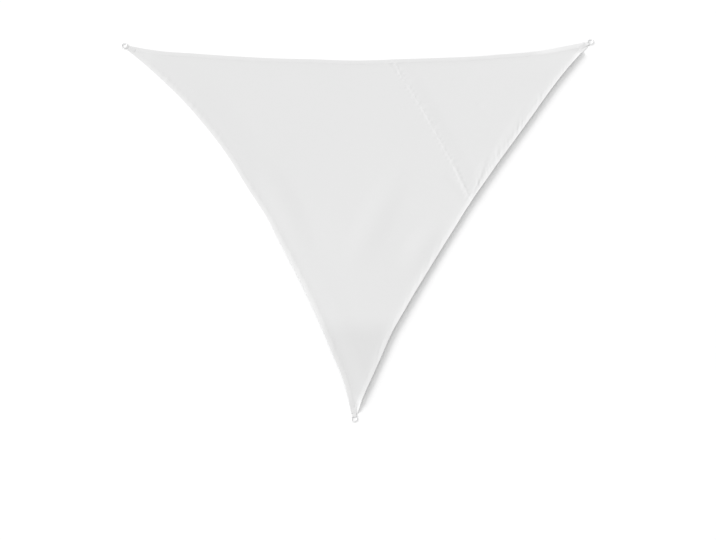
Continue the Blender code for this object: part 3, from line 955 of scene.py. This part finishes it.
def make_hem(edge):
    """Closed shell of a turned edge, from tip to tip along its whole side."""
    insets, heights = np.array(HEM_PROFILE).T
    count = round(FRAMES[edge][3] / HEM_STEP)
    shares = np.array([[tip_share(edge, end, inset) for end in SIDES[edge]] for inset in insets])
    steps = np.linspace(0, 1, count + 1)[:, None]
    place = shares[:, 0] + (shares[:, 1] - shares[:, 0]) * steps
    points = edge_point(edge, place, insets[None, :])
    x, y = points[..., 0], points[..., 1]
    upper = np.clip((heights - HEM_LOWER_FACE) / (HEM_UPPER_FACE - HEM_LOWER_FACE), 0, 1)
    z = underside(x, y) + pressed(x, y) * heights + hem_top(x, y) * upper
    piece = swept_piece(f"hem_{edge}", np.stack([x, y, z], axis=-1), hem_cloth[edge])
    return piece


def hem_stitches(edge):
    """One row of stitches in the dip of a hem."""
    limit = HEM_STITCH_ROW + HEM_STITCH_LIMIT
    low, high = (tip_share(edge, end, limit) for end in SIDES[edge])
    shares = np.linspace(low, high, round((high - low) * FRAMES[edge][3] / STITCH_PITCH))
    places = edge_point(edge, shares, HEM_STITCH_ROW)
    aims = edge_point(edge, shares + LOOK_AHEAD, HEM_STITCH_ROW) - places
    x, y = places.T
    heights = underside(x, y) + pressed(x, y) * HEM_STITCH_HEIGHT + hem_top(x, y)
    return stitches(f"thread_{edge}", places, heights + THREAD_RADIUS / 2, aims)


def seam_stitches():
    """Two rows of stitches through the turned edge of the corner panel."""
    low, high = (seam_share(edge, HEM_WIDTH + SEAM_STITCH_LIMIT, 0.0) for edge in ("top", "right"))
    shares = np.linspace(low, high, round((high - low) * SEAM_LENGTH / STITCH_PITCH))
    places = np.concatenate([seam_point(shares, row) for row in SEAM_STITCH_ROWS])
    ahead = np.concatenate([seam_point(shares + LOOK_AHEAD, row) for row in SEAM_STITCH_ROWS])
    heights = corner_top(*places.T) + THREAD_RADIUS * 0.6
    return stitches("thread_seam", places, heights, ahead - places)


def tip_offset(corner, along, across):
    """Points in plan at distances along and across a tip's axis from its ring centre."""
    centre, axis = TIPS[corner]
    side = np.array([-axis[1], axis[0]])
    return centre + np.asarray(along)[..., None] * axis + np.asarray(across)[..., None] * side


def smooth_run(step, first, first_pull, last, last_pull):
    """Points from first to last that leave and arrive along two pulls."""
    return ((2 * step ** 3 - 3 * step ** 2 + 1) * first + (step ** 3 - 2 * step ** 2 + step) * first_pull
            + (3 * step ** 2 - 2 * step ** 3) * last + (step ** 3 - step ** 2) * last_pull)


def webbing_path(share):
    """Middle of the strap from its upper to its lower end: along the tip's axis, and height.

    The last column is the strap's thickness there, as a share of the whole.
    """
    heading = share * WEBBING_GATHER
    reach = WIRE_RADIUS + GAP + WEBBING_THICKNESS / 2
    turns = np.linspace(0.5, 1.5, WRAP_STEPS) * math.pi
    out = RING_RADIUS + reach * np.cos(turns)
    wrap = np.column_stack([out * math.cos(heading), out * math.sin(heading),
                            WIRE_HEIGHT + reach * np.sin(turns)])
    side = np.full(LEG_STEPS, share * WEBBING_WIDTH / 2)
    ends = np.linspace(WEBBING_END, WEBBING_BEND, LEG_STEPS)
    thick = WEBBING_THIN + (1 - WEBBING_THIN) * smooth(WEBBING_END - ends, -0.001, WEBBING_TAPER)
    sink = (1 - thick) * WEBBING_THICKNESS / 2
    upper = np.column_stack([ends, side, UPPER_LEG - sink])
    lower = np.column_stack([ends, side, WEBBING_THICKNESS / 2 - sink])[::-1]
    bends = []
    for leg, turn in ((upper[-1], wrap[0]), (lower[0], wrap[-1])):
        run = leg[0] - turn[0]
        leg_pull = np.array([-run, 0.0, 0.0])
        turn_pull = np.array([-run * math.cos(heading), -run * math.sin(heading), 0.0])
        step = np.linspace(0, 1, BEND_STEPS)[1:-1, None]
        bends.append(smooth_run(step, leg, leg_pull, turn, turn_pull))
    path = np.concatenate([upper, bends[0], wrap, bends[1][::-1], lower])
    whole = np.ones(len(path) - 2 * LEG_STEPS)
    return np.column_stack([path, np.concatenate([thick, whole, thick[::-1]])])


def make_webbing(corner):
    """Flat strap folded round the ring's wire and over both faces of the cloth's tip."""
    shares = np.sin(np.linspace(-0.5, 0.5, WEBBING_COLUMNS) * math.pi)
    paths = np.stack([webbing_path(share) for share in shares], axis=1)
    middle, thick = paths[..., :3], paths[..., 3:]
    ahead = np.gradient(middle, axis=0)
    outward = np.stack([ahead[..., 2], np.zeros(middle.shape[:2]), -ahead[..., 0]], axis=-1)
    outward = outward / np.linalg.norm(outward, axis=-1, keepdims=True)
    rounding = np.clip((np.abs(shares) - 1) / WEBBING_ROUNDING + 1, 0, 1)
    edge = np.sqrt(np.clip(1 - rounding ** 2, 0.04, 1))
    is_groove = (np.arange(WEBBING_COLUMNS) % 2 == 1) & (edge > 0.9)
    half = WEBBING_THICKNESS / 2 * edge * np.where(is_groove, 1 - WEBBING_GROOVE, 1.0)
    reach = outward * half[:, None] * thick
    loops = np.concatenate([middle + reach, (middle - reach)[:, ::-1]], axis=1)
    plan = tip_offset(corner, loops[..., 0], loops[..., 1])
    loops = np.concatenate([plan, loops[..., 2:]], axis=-1)
    piece = swept_piece(f"strap_{corner}", loops, strap_cloth[corner])
    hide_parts(f"webbing_{corner}")
    return piece


def webbing_stitches(corner):
    """Box and cross of stitches through both legs of a strap, seen on its upper face."""
    near, far = STITCH_BOX_START, STITCH_BOX_END
    side = STITCH_BOX_WIDTH / 2
    corners = np.array([(near, -side), (far, -side), (far, side), (near, side)])
    lines = [(corners[i], corners[(i + 1) % 4]) for i in range(4)]
    lines += [(corners[0], corners[2]), (corners[1], corners[3])]
    places, aims = [], []
    for first, last in lines:
        count = round(np.linalg.norm(last - first) / STITCH_PITCH)
        steps = (np.arange(count) + 0.5) / count
        places.append(first + (last - first) * steps[:, None])
        aims.append(np.tile(last - first, (count, 1)))
    places, aims = np.concatenate(places), np.concatenate(aims)
    points = tip_offset(corner, *places.T)
    ahead = tip_offset(corner, *(places + aims).T) - points
    heights = np.full(len(points), UPPER_LEG + WEBBING_THICKNESS / 2 + THREAD_RADIUS * 0.4)
    return stitches(f"thread_strap_{corner}", points, heights, ahead)


def make_ring(corner):
    """Round wire ring with a weld, one side down on the floor and the other in the strap."""
    low, high = WIRE_RADIUS * (1 + WELD_RISE), WIRE_HEIGHT
    tilt = math.asin((high - low) / (2 * RING_RADIUS))
    turns = np.arange(RING_COLUMNS) * 2 * math.pi / RING_COLUMNS
    girth = np.arange(WIRE_ROWS) * 2 * math.pi / WIRE_ROWS
    from_weld = (turns - WELD_TURN + math.pi) % (2 * math.pi) - math.pi
    weld = np.exp(-(from_weld * RING_RADIUS / WELD_LENGTH) ** 2)
    swell = WIRE_RADIUS * (1 + WELD_RISE * weld * (1 + WELD_SKEW * np.sin(9 * turns)))
    out = RING_RADIUS + swell[:, None] * np.cos(girth)
    along = out * np.cos(turns)[:, None]
    across = out * np.sin(turns)[:, None]
    up = swell[:, None] * np.sin(girth)
    height = (low + high) / 2 + along * math.sin(tilt) + up * math.cos(tilt)
    plan = tip_offset(corner, along * math.cos(tilt) - up * math.sin(tilt), across)
    loops = np.concatenate([plan, height[..., None]], axis=-1)
    piece = swept_piece(f"steel_ring_{corner}", loops, steel, is_ring=True)
    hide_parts(f"ring_{corner}")
    return piece


main_sheet = make_main_sheet()
corner_sheet = make_corner_sheet()
hems = {edge: make_hem(edge) for edge in SIDES}
threads = {edge: hem_stitches(edge) for edge in SIDES}
seam_thread = seam_stitches()
for corner in CORNERS:
    make_webbing(corner)
    webbing_stitches(corner)
    make_ring(corner)


# ---------------------------------------------------------------- studio


def make_floor():
    mesh = bpy.data.meshes.new("floor")
    corners = [(x * FLOOR_REACH, y * FLOOR_REACH, 0) for x, y in ((-1, -1), (1, -1), (1, 1), (-1, 1))]
    mesh.from_pydata(corners, [], [(0, 1, 2, 3)])
    mesh.materials.append(new_material("floor_paint", FLOOR_COLOUR, 0.9))
    floor = bpy.data.objects.new("floor", mesh)
    floor.location.z = -FLOOR_DROP
    bpy.context.scene.collection.objects.link(floor)


def make_lights():
    world = bpy.data.worlds.new("studio")
    world.use_nodes = True
    background = world.node_tree.nodes["Background"]
    background.inputs["Color"].default_value = (1, 1, 1, 1)
    background.inputs["Strength"].default_value = TOTAL_LIGHT * (1 - KEY_SHARE)
    bpy.context.scene.world = world
    lamp = bpy.data.lights.new("key", "SUN")
    lamp.energy = TOTAL_LIGHT * KEY_SHARE * math.pi / math.sin(KEY_ELEVATION)
    lamp.angle = KEY_SPREAD
    key = bpy.data.objects.new("key", lamp)
    to_light = Vector((math.cos(KEY_ELEVATION) * math.cos(KEY_AZIMUTH),
                       math.cos(KEY_ELEVATION) * math.sin(KEY_AZIMUTH), math.sin(KEY_ELEVATION)))
    key.rotation_mode = "QUATERNION"
    key.rotation_quaternion = to_light.to_track_quat("Z", "Y")
    bpy.context.scene.collection.objects.link(key)


def make_camera():
    data = bpy.data.cameras.new("camera")
    data.lens = LENS
    data.sensor_width = SENSOR
    data.clip_end = VIEW_RANGE
    camera = bpy.data.objects.new("camera", data)
    back = Vector((0, -math.cos(ELEVATION), math.sin(ELEVATION)))
    camera.location = TARGET + back * DISTANCE
    camera.rotation_mode = "QUATERNION"
    camera.rotation_quaternion = back.to_track_quat("Z", "Y")
    bpy.context.scene.collection.objects.link(camera)
    bpy.context.scene.camera = camera


make_floor()
make_lights()
make_camera()
bpy.context.scene.view_settings.view_transform = "Standard"
bpy.context.scene.view_settings.look = "None"
